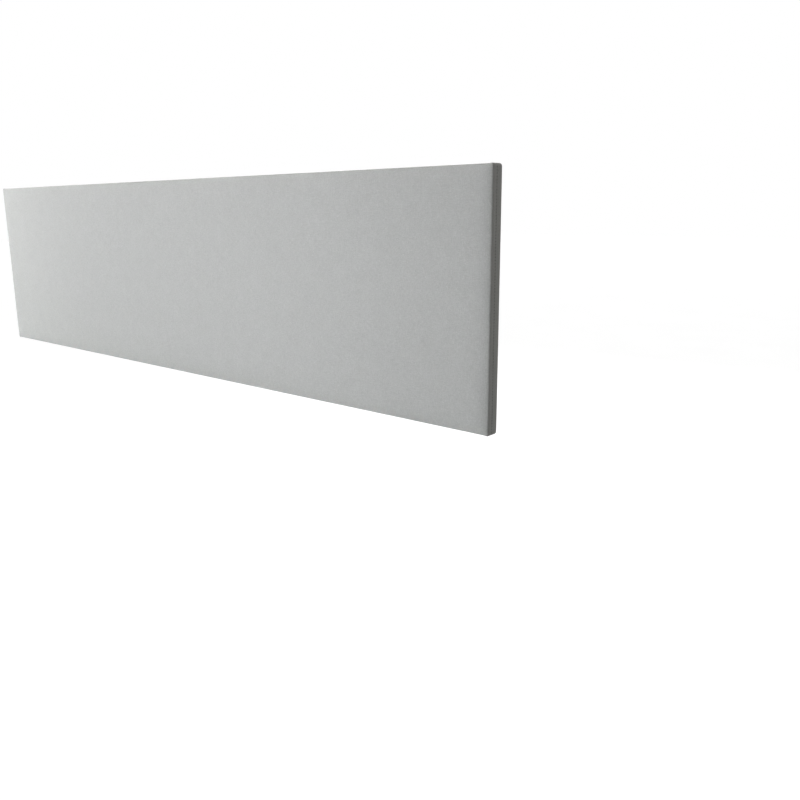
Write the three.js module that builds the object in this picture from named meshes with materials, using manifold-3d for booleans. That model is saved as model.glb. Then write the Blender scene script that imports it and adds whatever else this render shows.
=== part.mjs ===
// Acoustic divider screen: an upholstered panel with a timber frame and absorbing infill,
// hung on the rear edge of a board by two screw clamps.
// Millimetres. X runs along the screen, Y from its outer face towards the board, Z is up.
// The origin is the middle of the board's rear edge, at the height of the board's top face.
import * as THREE from "three";
import { mergeVertices } from "three/addons/utils/BufferGeometryUtils.js";
import Module from "manifold-3d";

const wasm = await Module();
wasm.setup();

// Panel: overall size, and how far it hangs below the board's top face
const panelLength = 1600;
const panelHeight = 400;
const panelDrop = 65;
const edgeRadius = 5;
const cornerRadius = 6;

// Panel: what it is built from
const fabricThickness = 0.9;
const foamThickness = 3;
const frameThickness = 18;
const topRailWidth = 45;
const bottomRailWidth = 100;
const stileWidth = 45;
const mullionSpacing = 533;
const seamShare = 0.46;
const seamGap = 0.3;
const dowelDiameter = 8;
const dowelLength = 40;
const dowelSpacing = 22;
const dowelChamfer = 0.8;

// Clamps: the board that they hold, and the strip steel bracket
const clampSpacing = 1000;
const boardThickness = 25;
const thinnestBoard = 18;
const thickestBoard = 40;
const bracketWidth = 60;
const bracketThickness = 3;
const bracketReach = 60;
const bendRadius = 3;
const flangeCornerRadius = 10;
const gripPadThickness = 2;
const gripPadMargin = 4;
const gripPadCornerRadius = 6;

// Clamps: the fixing screws and their threaded inserts
const fixingDiameter = 6;
const fixingLength = 16;
const fixingHeadDiameter = 10.5;
const fixingHeadHeight = 3.3;
const fixingSocketWidth = 4;
const fixingSocketDepth = 2;
const fixingHoleDiameter = 6.6;
const fixingSpacing = 36;
const upperFixingDepth = 12;
const lowerFixingDepth = 45;
const insertDiameter = 10;
const insertLength = 13;
const insertFlangeDiameter = 13;
const insertFlangeThickness = 1.2;

// Clamps: the clamp screw, its nut, its swivel pad and its knob
const clampScrewDiameter = 8;
const clampScrewReach = 38;
const clampScrewHoleDiameter = 9;
const clampScrewChamfer = 0.8;
const nutWidth = 13;
const nutHeight = 6.5;
const neckDiameter = 6;
const neckLength = 2.6;
const swivelHeadDiameter = 13;
const swivelHeadThickness = 2;
const cupDiameter = 26;
const cupHeight = 6;
const cupLipThickness = 2;
const cupEdgeRadius = 1.5;
const padRubberDiameter = 24;
const padRubberThickness = 2;
const padRubberChamfer = 0.5;
const knobDiameter = 34;
const knobLobeDepth = 3.5;
const knobLobes = 5;
const knobHeight = 15;
const knobCollarDiameter = 15;
const knobCollarHeight = 4;
const knobEdgeRadius = 1.5;
const knobBoreDepth = 11;

// Clearance between pieces that touch, and between the screw's parts and their stops
const seat = 0.3;
const stopClearance = 0.5;

// Facets: sides of round pieces, steps of arcs, and the overrun of every cut
const roundSides = 20;
const smallRoundSides = 12;
const cornerSteps = 3;
const edgeSteps = 4;
const knobOutlineSteps = 40;
const bendSteps = 6;
const overrun = 5;

// Places along Y: the screw heads touch the board's edge at zero
const webFrontY = -(fixingHeadHeight + seat);
const webRearY = webFrontY - bracketThickness;
const panelRearY = webRearY - seat;
const coverBuild = fabricThickness + seat;
const foamBuild = foamThickness + seat;
const panelThickness = frameThickness + 2 * (coverBuild + foamBuild);
const panelOuterY = panelRearY - panelThickness;
const panelMiddleY = panelRearY - panelThickness / 2;
const seamY = panelOuterY + seamShare * panelThickness;
const outerFoamY = panelOuterY + coverBuild;
const frameOuterY = outerFoamY + foamBuild;
const frameRearY = frameOuterY + frameThickness;
const rearFoamY = frameRearY + seat;

// Places along Z
const panelBottomZ = -panelDrop;
const panelTopZ = panelBottomZ + panelHeight;
const panelMiddleZ = panelBottomZ + panelHeight / 2;
const coreBottomZ = panelBottomZ + coverBuild;
const coreTopZ = panelTopZ - coverBuild;
const bottomRailTopZ = coreBottomZ + bottomRailWidth;
const topRailBottomZ = coreTopZ - topRailWidth;
const stileBottomZ = bottomRailTopZ + seat;
const stileTopZ = topRailBottomZ - seat;
const upperFlangeZ = gripPadThickness + seat;
const cupTopZ = -(boardThickness + padRubberThickness + seat);
const cupBottomZ = cupTopZ - cupHeight;
const nutTopZ = cupBottomZ - (thickestBoard - boardThickness) - stopClearance;
const lowerFlangeTopZ = nutTopZ - nutHeight - seat;
const lowerFlangeBottomZ = lowerFlangeTopZ - bracketThickness;
const knobTopZ = lowerFlangeBottomZ - (boardThickness - thinnestBoard) - stopClearance;

// Places along X
const coreEndX = panelLength / 2 - coverBuild;
const stileInnerX = coreEndX - stileWidth;
const mullionX = mullionSpacing / 2;

// Finishes
const fabric = new THREE.MeshStandardMaterial({ color: "#bdbebd", roughness: 0.95, metalness: 0 });
const foam = new THREE.MeshStandardMaterial({ color: "#8d8f91", roughness: 0.95, metalness: 0 });
const felt = new THREE.MeshStandardMaterial({ color: "#dcdcd6", roughness: 1, metalness: 0 });
const timber = new THREE.MeshStandardMaterial({ color: "#d2ae7c", roughness: 0.75, metalness: 0 });
const beech = new THREE.MeshStandardMaterial({ color: "#c9985e", roughness: 0.7, metalness: 0 });
const zincSteel = new THREE.MeshStandardMaterial({ color: "#b9bcc0", roughness: 0.35, metalness: 0.9 });
const blackSteel = new THREE.MeshStandardMaterial({ color: "#202122", roughness: 0.5, metalness: 0.4 });
const rubber = new THREE.MeshStandardMaterial({ color: "#2b2b2c", roughness: 0.9, metalness: 0 });
const plastic = new THREE.MeshStandardMaterial({ color: "#1b1b1c", roughness: 0.45, metalness: 0 });

// A closed geometry as a solid that can be joined and cut.
function solidOf(geometry) {
  geometry.deleteAttribute("normal");
  geometry.deleteAttribute("uv");
  const merged = mergeVertices(geometry);
  return new wasm.Manifold(
    new wasm.Mesh({
      numProp: 3,
      vertProperties: merged.attributes.position.array,
      triVerts: new Uint32Array(merged.index.array),
    }),
  );
}

// A solid as a named mesh of the screen.
function meshOf(name, solid, material) {
  const made = solid.getMesh();
  const geometry = new THREE.BufferGeometry();
  geometry.setAttribute("position", new THREE.BufferAttribute(made.vertProperties, 3));
  geometry.setIndex(new THREE.BufferAttribute(made.triVerts, 1));
  geometry.computeVertexNormals();
  const mesh = new THREE.Mesh(geometry, material);
  mesh.name = name;
  return mesh;
}

// A box between two corners.
function block(low, high) {
  const size = high.map((value, i) => value - low[i]);
  const middle = high.map((value, i) => (value + low[i]) / 2);
  return solidOf(new THREE.BoxGeometry(...size).translate(...middle));
}

// A rectangle with rounded corners, centred on the origin.
function roundedOutline(width, height, radius) {
  const x = width / 2 - radius;
  const y = height / 2 - radius;
  const outline = new THREE.Shape();
  outline.absarc(x, y, radius, 0, Math.PI / 2);
  outline.absarc(-x, y, radius, Math.PI / 2, Math.PI);
  outline.absarc(-x, -y, radius, Math.PI, 1.5 * Math.PI);
  outline.absarc(x, -y, radius, 1.5 * Math.PI, 2 * Math.PI);
  outline.closePath();
  return outline;
}

// The panel's rounded slab, drawn in by the same inset on every side.
function panelSlab(inset) {
  const edge = edgeRadius - inset;
  const outline = roundedOutline(
    panelLength - 2 * edgeRadius,
    panelHeight - 2 * edgeRadius,
    cornerRadius - edgeRadius,
  );
  const depth = panelThickness - 2 * edgeRadius;
  const slab = new THREE.ExtrudeGeometry(outline, {
    depth,
    bevelThickness: edge,
    bevelSize: edge,
    bevelSegments: edgeSteps,
    curveSegments: cornerSteps,
  });
  slab.translate(0, 0, -depth / 2).rotateX(Math.PI / 2);
  return solidOf(slab.translate(0, panelMiddleY, panelMiddleZ));
}

// A block as wide and high as the whole panel, between two depths.
function layer(nearY, farY) {
  const halfLength = panelLength / 2 + overrun;
  return block(
    [-halfLength, nearY, panelBottomZ - overrun],
    [halfLength, farY, panelTopZ + overrun],
  );
}

// A profile of radius and height, from bottom to top, turned about Z.
function turned(profile, sides) {
  const points = profile.map(([radius, height]) => new THREE.Vector2(radius, height));
  return new THREE.LatheGeometry(points, sides).rotateX(Math.PI / 2);
}

// A round bar along Z or, turned over, along Y.
function barAlongZ(diameter, x, y, lowZ, highZ, sides) {
  const bar = new THREE.CylinderGeometry(diameter / 2, diameter / 2, highZ - lowZ, sides);
  return solidOf(bar.rotateX(Math.PI / 2).translate(x, y, (lowZ + highZ) / 2));
}

function barAlongY(diameter, x, z, lowY, highY, sides) {
  const bar = new THREE.CylinderGeometry(diameter / 2, diameter / 2, highY - lowY, sides);
  return solidOf(bar.translate(x, (lowY + highY) / 2, z));
}

function cutAll(solid, tools) {
  return tools.reduce((rest, tool) => rest.subtract(tool), solid);
}

// Where the fixing screws go: four to a clamp.
const clamps = [
  { side: "left", x: -clampSpacing / 2 },
  { side: "right", x: clampSpacing / 2 },
];
function fixingPlaces(clamp) {
  const upperZ = -upperFixingDepth;
  const lowerZ = -lowerFixingDepth;
  const halfSpacing = fixingSpacing / 2;
  return [
    { name: "upper_left", x: clamp.x - halfSpacing, z: upperZ },
    { name: "upper_right", x: clamp.x + halfSpacing, z: upperZ },
    { name: "lower_left", x: clamp.x - halfSpacing, z: lowerZ },
    { name: "lower_right", x: clamp.x + halfSpacing, z: lowerZ },
  ];
}
const allFixings = clamps.flatMap(fixingPlaces);

// The fabric cover: two dished halves that meet in a sewn seam round the panel's edge.
function fabricCover() {
  const shell = panelSlab(0).subtract(panelSlab(fabricThickness));
  const outerHalf = shell.intersect(layer(panelOuterY - overrun, seamY - seamGap / 2));
  const rearHalf = shell.intersect(layer(seamY + seamGap / 2, panelRearY + overrun));
  const screwHoles = allFixings.map(({ x, z }) =>
    barAlongY(fixingHoleDiameter, x, z, rearFoamY, panelRearY + overrun, smallRoundSides),
  );
  return [
    meshOf("outer_cover", outerHalf, fabric),
    meshOf("rear_cover", cutAll(rearHalf, screwHoles), fabric),
  ];
}

// The thin foam sheets that soften the faces, eased at the rim like the cover.
function foamFacings(core) {
  const outer = core.intersect(layer(outerFoamY, outerFoamY + foamThickness));
  const rear = core.intersect(layer(rearFoamY, rearFoamY + foamThickness));
  const screwHoles = allFixings.map(({ x, z }) =>
    barAlongY(fixingHoleDiameter, x, z, frameRearY, panelRearY, smallRoundSides),
  );
  return [
    meshOf("outer_foam", outer, foam),
    meshOf("rear_foam", cutAll(rear, screwHoles), foam),
  ];
}

// Where the dowels go: a pair at each end of each upright.
function dowelPlaces() {
  const uprights = [
    { name: "left_stile", x: -(stileInnerX + stileWidth / 2) },
    { name: "left_mullion", x: -mullionX },
    { name: "right_mullion", x: mullionX },
    { name: "right_stile", x: stileInnerX + stileWidth / 2 },
  ];
  const ends = [
    { name: "bottom", z: bottomRailTopZ + seat / 2 },
    { name: "top", z: topRailBottomZ - seat / 2 },
  ];
  const sides = [
    { name: "a", offset: -dowelSpacing / 2 },
    { name: "b", offset: dowelSpacing / 2 },
  ];
  return uprights.flatMap((upright) =>
    ends.flatMap((end) =>
      sides.map((side) => ({
        name: `${upright.name}_${end.name}_dowel_${side.name}`,
        x: upright.x + side.offset,
        z: end.z,
      })),
    ),
  );
}

// The timber frame: two rails with four uprights between them, dowelled, and the threaded
// inserts that the clamps screw into, let into the wide bottom rail from behind.
function frame(core) {
  const middleY = (frameOuterY + frameRearY) / 2;
  const places = dowelPlaces();
  const dowelHoleDepth = dowelLength / 2 + seat;
  const dowelHoles = places.map(({ x, z }) =>
    barAlongZ(
      dowelDiameter + 2 * seat, x, middleY, z - dowelHoleDepth, z + dowelHoleDepth, smallRoundSides,
    ),
  );
  const insertHoles = allFixings.flatMap(({ x, z }) => [
    barAlongY(
      insertDiameter + 2 * seat, x, z, frameRearY - insertLength - seat, frameRearY + overrun,
      smallRoundSides,
    ),
    barAlongY(
      insertFlangeDiameter + 2 * seat, x, z, frameRearY - insertFlangeThickness - seat,
      frameRearY + overrun, smallRoundSides,
    ),
  ]);
  const member = (name, lowX, highX, lowZ, highZ, holes) => {
    const bar = block([lowX, frameOuterY, lowZ], [highX, frameRearY, highZ]).intersect(core);
    return meshOf(name, cutAll(bar, holes), timber);
  };
  const upright = (name, middleX) =>
    member(
      name, middleX - stileWidth / 2, middleX + stileWidth / 2, stileBottomZ, stileTopZ, dowelHoles,
    );
  const stileX = stileInnerX + stileWidth / 2;
  const members = [
    member(
      "bottom_rail", -coreEndX, coreEndX, coreBottomZ, bottomRailTopZ,
      [...dowelHoles, ...insertHoles],
    ),
    member("top_rail", -coreEndX, coreEndX, topRailBottomZ, coreTopZ, dowelHoles),
    upright("left_stile", -stileX),
    upright("left_mullion", -mullionX),
    upright("right_mullion", mullionX),
    upright("right_stile", stileX),
  ];
  const half = dowelLength / 2;
  const radius = dowelDiameter / 2;
  const dowelProfile = [
    [0, -half],
    [radius - dowelChamfer, -half],
    [radius, dowelChamfer - half],
    [radius, half - dowelChamfer],
    [radius - dowelChamfer, half],
    [0, half],
  ];
  const dowels = places.map(({ name, x, z }) =>
    meshOf(name, solidOf(turned(dowelProfile, smallRoundSides).translate(x, middleY, z)), beech),
  );
  return [...members, ...dowels];
}

// The absorbing slabs that fill the frame's three bays.
function infill() {
  const slab = (name, lowX, highX) =>
    meshOf(
      name,
      block(
        [lowX + seat, frameOuterY, bottomRailTopZ + seat],
        [highX - seat, frameRearY, topRailBottomZ - seat],
      ),
      felt,
    );
  const nearMullion = mullionX - stileWidth / 2;
  const farMullion = mullionX + stileWidth / 2;
  return [
    slab("left_infill", -stileInnerX, -farMullion),
    slab("middle_infill", -nearMullion, nearMullion),
    slab("right_infill", farMullion, stileInnerX),
  ];
}

// A threaded insert: a flanged sleeve, its mouth flush with the rail's rear face.
function threadedInsert(name, x, z) {
  const bore = fixingDiameter / 2 + seat;
  const profile = [
    [bore, 0],
    [insertDiameter / 2, 0],
    [insertDiameter / 2, insertLength - insertFlangeThickness],
    [insertFlangeDiameter / 2, insertLength - insertFlangeThickness],
    [insertFlangeDiameter / 2, insertLength],
    [bore, insertLength],
    [bore, 0],
  ];
  const sleeve = turned(profile, smallRoundSides).rotateX(-Math.PI / 2);
  return meshOf(name, solidOf(sleeve.translate(x, frameRearY - insertLength, z)), zincSteel);
}

// A button-head screw with a hexagon socket, its head towards the board.
function fixingScrew(name, x, z) {
  const headRadius = fixingHeadDiameter / 2;
  const shankRadius = fixingDiameter / 2;
  const rimHeight = fixingHeadHeight / 4;
  const crownRadius = headRadius * Math.SQRT1_2;
  const crownHeight = fixingHeadHeight - rimHeight;
  const profile = [
    [0, -fixingLength],
    [shankRadius, -fixingLength],
    [shankRadius, 0],
    [headRadius, 0],
    [headRadius, rimHeight],
    [crownRadius + (headRadius - crownRadius) / 2, rimHeight + crownHeight / 2],
    [crownRadius, fixingHeadHeight],
    [0, fixingHeadHeight],
  ];
  const socket = new THREE.CylinderGeometry(
    fixingSocketWidth / Math.sqrt(3), fixingSocketWidth / Math.sqrt(3), 2 * fixingSocketDepth, 6,
  );
  const screw = solidOf(turned(profile, smallRoundSides).rotateX(-Math.PI / 2))
    .subtract(solidOf(socket.translate(0, fixingHeadHeight, 0)))
    .translate([x, -fixingHeadHeight, z]);
  return meshOf(name, screw, zincSteel);
}

// The bracket: one strip of steel bent into a channel, with the board's edge in its mouth.
function bracket(name, clamp) {
  const outerBend = bendRadius + bracketThickness;
  const upperTopZ = upperFlangeZ + bracketThickness;
  const section = new THREE.Shape();
  section.moveTo(bracketReach, lowerFlangeBottomZ);
  section.lineTo(bracketReach, lowerFlangeTopZ);
  section.absarc(
    webFrontY + bendRadius, lowerFlangeTopZ + bendRadius, bendRadius, 1.5 * Math.PI, Math.PI, true,
  );
  section.absarc(
    webFrontY + bendRadius, upperFlangeZ - bendRadius, bendRadius, Math.PI, Math.PI / 2, true,
  );
  section.lineTo(bracketReach, upperFlangeZ);
  section.lineTo(bracketReach, upperTopZ);
  section.absarc(webRearY + outerBend, upperTopZ - outerBend, outerBend, Math.PI / 2, Math.PI);
  section.absarc(
    webRearY + outerBend, lowerFlangeBottomZ + outerBend, outerBend, Math.PI, 1.5 * Math.PI,
  );
  section.closePath();
  const strip = new THREE.ExtrudeGeometry(section, {
    depth: bracketWidth,
    bevelEnabled: false,
    curveSegments: bendSteps / 2,
  });
  const turn = new THREE.Matrix4().makeBasis(
    new THREE.Vector3(0, 1, 0),
    new THREE.Vector3(0, 0, 1),
    new THREE.Vector3(1, 0, 0),
  );
  strip.applyMatrix4(turn).translate(clamp.x - bracketWidth / 2, 0, 0);

  const planLength = bracketReach - webRearY + 2 * flangeCornerRadius;
  const plan = new THREE.ExtrudeGeometry(
    roundedOutline(bracketWidth, planLength, flangeCornerRadius),
    { depth: panelHeight, bevelEnabled: false, curveSegments: cornerSteps },
  );
  plan.translate(clamp.x, bracketReach - planLength / 2, -panelHeight / 2);

  const fixingHoles = fixingPlaces(clamp).map(({ x, z }) =>
    barAlongY(
      fixingHoleDiameter, x, z, webRearY - overrun, webFrontY + overrun, smallRoundSides,
    ),
  );
  const screwHole = barAlongZ(
    clampScrewHoleDiameter, clamp.x, clampScrewReach, lowerFlangeBottomZ - overrun,
    lowerFlangeTopZ + overrun, roundSides,
  );
  const cut = cutAll(solidOf(strip).intersect(solidOf(plan)), [...fixingHoles, screwHole]);
  return meshOf(name, cut, blackSteel);
}

// The rubber sheet under the upper flange, which grips the board's top face.
function gripPad(name, clamp) {
  const width = bracketWidth - 2 * gripPadMargin;
  const length = bracketReach - gripPadMargin - bendRadius;
  const pad = new THREE.ExtrudeGeometry(roundedOutline(width, length, gripPadCornerRadius), {
    depth: gripPadThickness,
    bevelEnabled: false,
    curveSegments: cornerSteps,
  });
  pad.translate(clamp.x, bracketReach - gripPadMargin - length / 2, 0);
  return meshOf(name, solidOf(pad), rubber);
}

// The hexagon weld nut on the lower flange.
function weldNut(name, clamp) {
  const radius = nutWidth / Math.sqrt(3);
  const nut = new THREE.CylinderGeometry(radius, radius, nutHeight, 6).rotateX(Math.PI / 2);
  const body = solidOf(nut.translate(clamp.x, clampScrewReach, nutTopZ - nutHeight / 2));
  const bore = barAlongZ(
    clampScrewDiameter + 2 * seat, clamp.x, clampScrewReach, nutTopZ - nutHeight - overrun,
    nutTopZ + overrun, roundSides,
  );
  return meshOf(name, body.subtract(bore), zincSteel);
}

// The swivel pad: a steel cup crimped round the clamp screw's head.
const cupCeiling = cupHeight - (cupLipThickness + swivelHeadThickness + 2 * seat);
const chamberTopZ = cupTopZ - cupCeiling;
function padCup(name, clamp) {
  const radius = cupDiameter / 2;
  const lipRadius = neckDiameter / 2 + seat;
  const chamberRadius = swivelHeadDiameter / 2 + seat;
  const chamberBottom = cupHeight - cupCeiling - (swivelHeadThickness + 2 * seat);
  const arc = Array.from({ length: edgeSteps + 1 }, (_, i) => {
    const angle = ((i / edgeSteps) * Math.PI) / 2;
    return [
      radius - cupEdgeRadius * (1 - Math.cos(angle)),
      cupHeight - cupEdgeRadius * (1 - Math.sin(angle)),
    ];
  });
  const profile = [
    [lipRadius, 0],
    [radius, 0],
    ...arc,
    [0, cupHeight],
    [0, cupHeight - cupCeiling],
    [chamberRadius, cupHeight - cupCeiling],
    [chamberRadius, chamberBottom],
    [lipRadius, chamberBottom],
    [lipRadius, 0],
  ];
  const cup = turned(profile, roundSides).translate(clamp.x, clampScrewReach, cupBottomZ);
  return meshOf(name, solidOf(cup), zincSteel);
}

// The rubber disc on the cup, which presses on the board from below.
function padRubber(name, clamp) {
  const radius = padRubberDiameter / 2;
  const profile = [
    [0, 0],
    [radius, 0],
    [radius, padRubberThickness - padRubberChamfer],
    [radius - padRubberChamfer, padRubberThickness],
    [0, padRubberThickness],
  ];
  const disc = turned(profile, roundSides).translate(clamp.x, clampScrewReach, cupTopZ + seat);
  return meshOf(name, solidOf(disc), rubber);
}

// The clamp screw: a flat head in the cup, a neck, and the threaded shank down to the knob.
function clampScrew(name, clamp) {
  const headTop = chamberTopZ - seat;
  const headBottom = headTop - swivelHeadThickness;
  const shankTop = headBottom - neckLength;
  const shankBottom = knobTopZ - knobBoreDepth + seat;
  const shankRadius = clampScrewDiameter / 2;
  const profile = [
    [0, shankBottom],
    [shankRadius - clampScrewChamfer, shankBottom],
    [shankRadius, shankBottom + clampScrewChamfer],
    [shankRadius, shankTop - clampScrewChamfer],
    [neckDiameter / 2, shankTop],
    [neckDiameter / 2, headBottom],
    [swivelHeadDiameter / 2, headBottom],
    [swivelHeadDiameter / 2, headTop],
    [0, headTop],
  ];
  const screw = turned(profile, roundSides).translate(clamp.x, clampScrewReach, 0);
  return meshOf(name, solidOf(screw), zincSteel);
}

// The star knob: a lobed handle with a round collar, moulded on the screw's lower end.
function starKnob(name, clamp) {
  const meanRadius = knobDiameter / 2 - knobLobeDepth / 2 - knobEdgeRadius;
  const outline = new THREE.Shape(
    Array.from({ length: knobOutlineSteps }, (_, i) => {
      const angle = (i / knobOutlineSteps) * 2 * Math.PI;
      const radius = meanRadius + (knobLobeDepth / 2) * Math.cos(knobLobes * angle);
      return new THREE.Vector2(radius * Math.cos(angle), radius * Math.sin(angle));
    }),
  );
  const bodyHeight = knobHeight - knobCollarHeight;
  const handle = new THREE.ExtrudeGeometry(outline, {
    depth: bodyHeight - 2 * knobEdgeRadius,
    bevelThickness: knobEdgeRadius,
    bevelSize: knobEdgeRadius,
    bevelSegments: edgeSteps / 2,
  });
  const bottomZ = knobTopZ - knobHeight;
  handle.translate(clamp.x, clampScrewReach, bottomZ + knobEdgeRadius);
  const collar = barAlongZ(
    knobCollarDiameter, clamp.x, clampScrewReach, bottomZ + bodyHeight / 2, knobTopZ, roundSides,
  );
  const bore = barAlongZ(
    clampScrewDiameter + 2 * seat, clamp.x, clampScrewReach, knobTopZ - knobBoreDepth,
    knobTopZ + overrun, roundSides,
  );
  return meshOf(name, solidOf(handle).add(collar).subtract(bore), plastic);
}

// One clamp with its fixings.
function clampAssembly(clamp) {
  const { side } = clamp;
  const group = new THREE.Group();
  group.add(
    bracket(`${side}_bracket`, clamp),
    gripPad(`${side}_grip_pad`, clamp),
    weldNut(`${side}_weld_nut`, clamp),
    padCup(`${side}_pad_cup`, clamp),
    padRubber(`${side}_pad_rubber`, clamp),
    clampScrew(`${side}_clamp_screw`, clamp),
    starKnob(`${side}_star_knob`, clamp),
  );
  for (const { name, x, z } of fixingPlaces(clamp)) {
    group.add(threadedInsert(`${side}_insert_${name}`, x, z));
    group.add(fixingScrew(`${side}_fixing_screw_${name}`, x, z));
  }
  return group;
}

const core = panelSlab(coverBuild);
const panel = new THREE.Group();
panel.add(...fabricCover(), ...foamFacings(core), ...frame(core), ...infill());

const screen = new THREE.Group();
screen.add(panel, ...clamps.map(clampAssembly));

export default screen;
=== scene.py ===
import math

import bmesh
import bpy
from mathutils import Matrix, Vector, noise


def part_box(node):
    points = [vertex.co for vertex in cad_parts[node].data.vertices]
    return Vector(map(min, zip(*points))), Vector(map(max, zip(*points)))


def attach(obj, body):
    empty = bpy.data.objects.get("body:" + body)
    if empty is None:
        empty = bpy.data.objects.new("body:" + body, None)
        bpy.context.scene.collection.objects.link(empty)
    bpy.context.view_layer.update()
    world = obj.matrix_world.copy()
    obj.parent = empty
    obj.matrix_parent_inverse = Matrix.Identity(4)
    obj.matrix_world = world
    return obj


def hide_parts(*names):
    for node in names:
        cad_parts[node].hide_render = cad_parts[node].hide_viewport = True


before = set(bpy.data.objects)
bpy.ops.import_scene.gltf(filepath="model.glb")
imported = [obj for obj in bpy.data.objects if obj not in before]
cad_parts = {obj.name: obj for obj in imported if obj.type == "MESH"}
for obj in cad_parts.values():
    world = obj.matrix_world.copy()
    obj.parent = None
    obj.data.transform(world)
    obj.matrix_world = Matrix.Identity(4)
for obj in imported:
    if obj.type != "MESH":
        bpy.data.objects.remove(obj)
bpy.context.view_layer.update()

# Acoustic divider screen. Metres: X runs along the screen, Y from its outer face towards
# the board that it hangs on, and Z is up. The origin is the middle of the board's rear edge.


# The camera stands off the screen's right-hand end, a little above the middle of the
# panel, and looks down its length, so that the outer face runs away to the left.
camera_lens = 36.304
camera_place = Vector((1.48339, -1.00480, 0.26767))
camera_yaw = 0.72435
camera_pitch = -0.22847
camera_roll = -0.00557

bpy.ops.object.camera_add()
camera = bpy.context.object
camera.name = "camera"
camera.data.sensor_width = 36
camera.data.lens = camera_lens
camera.matrix_world = (
    Matrix.Translation(camera_place)
    @ Matrix.Rotation(camera_yaw, 4, "Z")
    @ Matrix.Rotation(math.pi / 2 + camera_pitch, 4, "X")
    @ Matrix.Rotation(camera_roll, 4, "Z")
)
bpy.context.scene.camera = camera


# The studio: a pale matt floor as far below the screen as the board's legs are long, white
# paper all round, and large soft lights, most of them in front on the left.
floor_height = -0.72
floor_size = 60
paper_white = (1, 1, 1, 1)
floor_colour = (0.12, 0.12, 0.12)
floor_glow = 0.93
blotch_size = 0.4


def new_finish(name, colour, roughness, metallic=0.0):
    """A material whose main shader has these values, for its section's textures to vary."""
    finish = bpy.data.materials.new(name)
    finish.use_nodes = True
    shader = finish.node_tree.nodes["Principled BSDF"]
    shader.inputs["Base Color"].default_value = (*colour, 1)
    shader.inputs["Roughness"].default_value = roughness
    shader.inputs["Metallic"].default_value = metallic
    return finish, shader


def add_node(finish, kind, inputs=(), **settings):
    """A node of a finish. Each input is a value, or another node's output to join to it."""
    made = finish.node_tree.nodes.new(kind)
    for name, value in settings.items():
        setattr(made, name, value)
    for socket, value in dict(inputs).items():
        if isinstance(value, bpy.types.NodeSocket):
            finish.node_tree.links.new(value, made.inputs[socket])
        else:
            made.inputs[socket].default_value = value
    return made


def object_place(finish, scale=(1, 1, 1), turn=(0, 0, 0)):
    """The piece's own coordinates, in metres, stretched or turned for a pattern."""
    source = add_node(finish, "ShaderNodeTexCoord").outputs["Object"]
    mapping = {"Vector": source, "Scale": scale, "Rotation": turn}
    return add_node(finish, "ShaderNodeMapping", mapping).outputs["Vector"]


def grain(finish, place, size, detail=2.0, distortion=0.0):
    """A noise whose blotches are about size metres across."""
    inputs = {"Vector": place, "Scale": 1 / size, "Detail": detail, "Distortion": distortion}
    return add_node(finish, "ShaderNodeTexNoise", inputs).outputs["Fac"]


def span(finish, factor, low, high):
    """A factor from 0.3 to 0.7, which most of a noise lies in, spread from low to high."""
    inputs = {"Value": factor, "From Min": 0.3, "From Max": 0.7, "To Min": low, "To Max": high}
    return add_node(finish, "ShaderNodeMapRange", inputs).outputs["Result"]


def join_input(finish, shader, socket, value):
    finish.node_tree.links.new(value, shader.inputs[socket])


bpy.ops.mesh.primitive_plane_add(size=floor_size, location=(0, 0, floor_height))
floor = bpy.context.object
floor.name = "floor"
bpy.ops.object.transform_apply(location=True, rotation=True, scale=True)
floor_paint, shader = new_finish("pale_floor", floor_colour, 0.9)
blotches = grain(floor_paint, object_place(floor_paint), blotch_size)
join_input(floor_paint, shader, "Roughness", span(floor_paint, blotches, 0.85, 0.95))
shader.inputs["Emission Color"].default_value = paper_white
shader.inputs["Emission Strength"].default_value = floor_glow
floor.data.materials.append(floor_paint)
floor.visible_diffuse = False

studio = bpy.data.worlds.new("studio")
studio.use_nodes = True
studio.node_tree.nodes["Background"].inputs["Color"].default_value = paper_white
studio.node_tree.nodes["Background"].inputs["Strength"].default_value = 1.0
studio.cycles_visibility.diffuse = False
bpy.context.scene.world = studio
bpy.context.scene.view_settings.view_transform = "Standard"


def soft_light(name, place, aim, width, height, power, spread=180, colour=(1, 1, 1)):
    """A rectangular softbox at a place, turned to face another, with a spread in degrees."""
    bpy.ops.object.light_add(type="AREA", location=place)
    lamp = bpy.context.object
    lamp.name = name
    lamp.rotation_euler = (Vector(aim) - Vector(place)).to_track_quat("-Z", "Y").to_euler()
    lamp.data.shape = "RECTANGLE"
    lamp.data.size, lamp.data.size_y = width, height
    lamp.data.energy = power
    lamp.data.spread = math.radians(spread)
    lamp.data.color = colour


soft_light("key_light", (-2.0, -3.0, 1.2), (0.1, 0, 0.16), 1.0, 1.0, 30.5, colour=(1, 0.965, 0.92))
soft_light("side_light", (-1.9, -1.0, 0.8), (-0.8, 0, 0.15), 0.8, 0.8, 21.6)
soft_light("far_light", (-0.6, -3.2, 1.2), (0.5, 0, 0.16), 1.0, 1.0, 1.11, spread=25)
soft_light("low_light", (-1.5, -3.2, -0.5), (0.3, 0, 0.1), 1.5, 0.6, 72, colour=(0.935, 1, 1))
soft_light("skim_light", (-3.6, -1.0, 0.5), (0.75, 0, 0.16), 0.6, 0.6, 0.42, spread=14)
soft_light("top_light", (0, 0.2, 3.2), (0, 0, 0), 3.5, 3.5, 22, colour=(1, 0.94, 0.83))
soft_light("end_light", (3.5, 0.5, 0.8), (0.8, 0, 0.1), 2.0, 2.0, 21, colour=(1, 1, 0.95))
soft_light("back_light", (-0.6, 3.4, 1.5), (0, 0, 0.1), 3.0, 2.0, 150)
soft_light("under_light", (0, 0.12, -0.7), (0, 0.1201, 0), 2.4, 0.25, 2)


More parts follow.
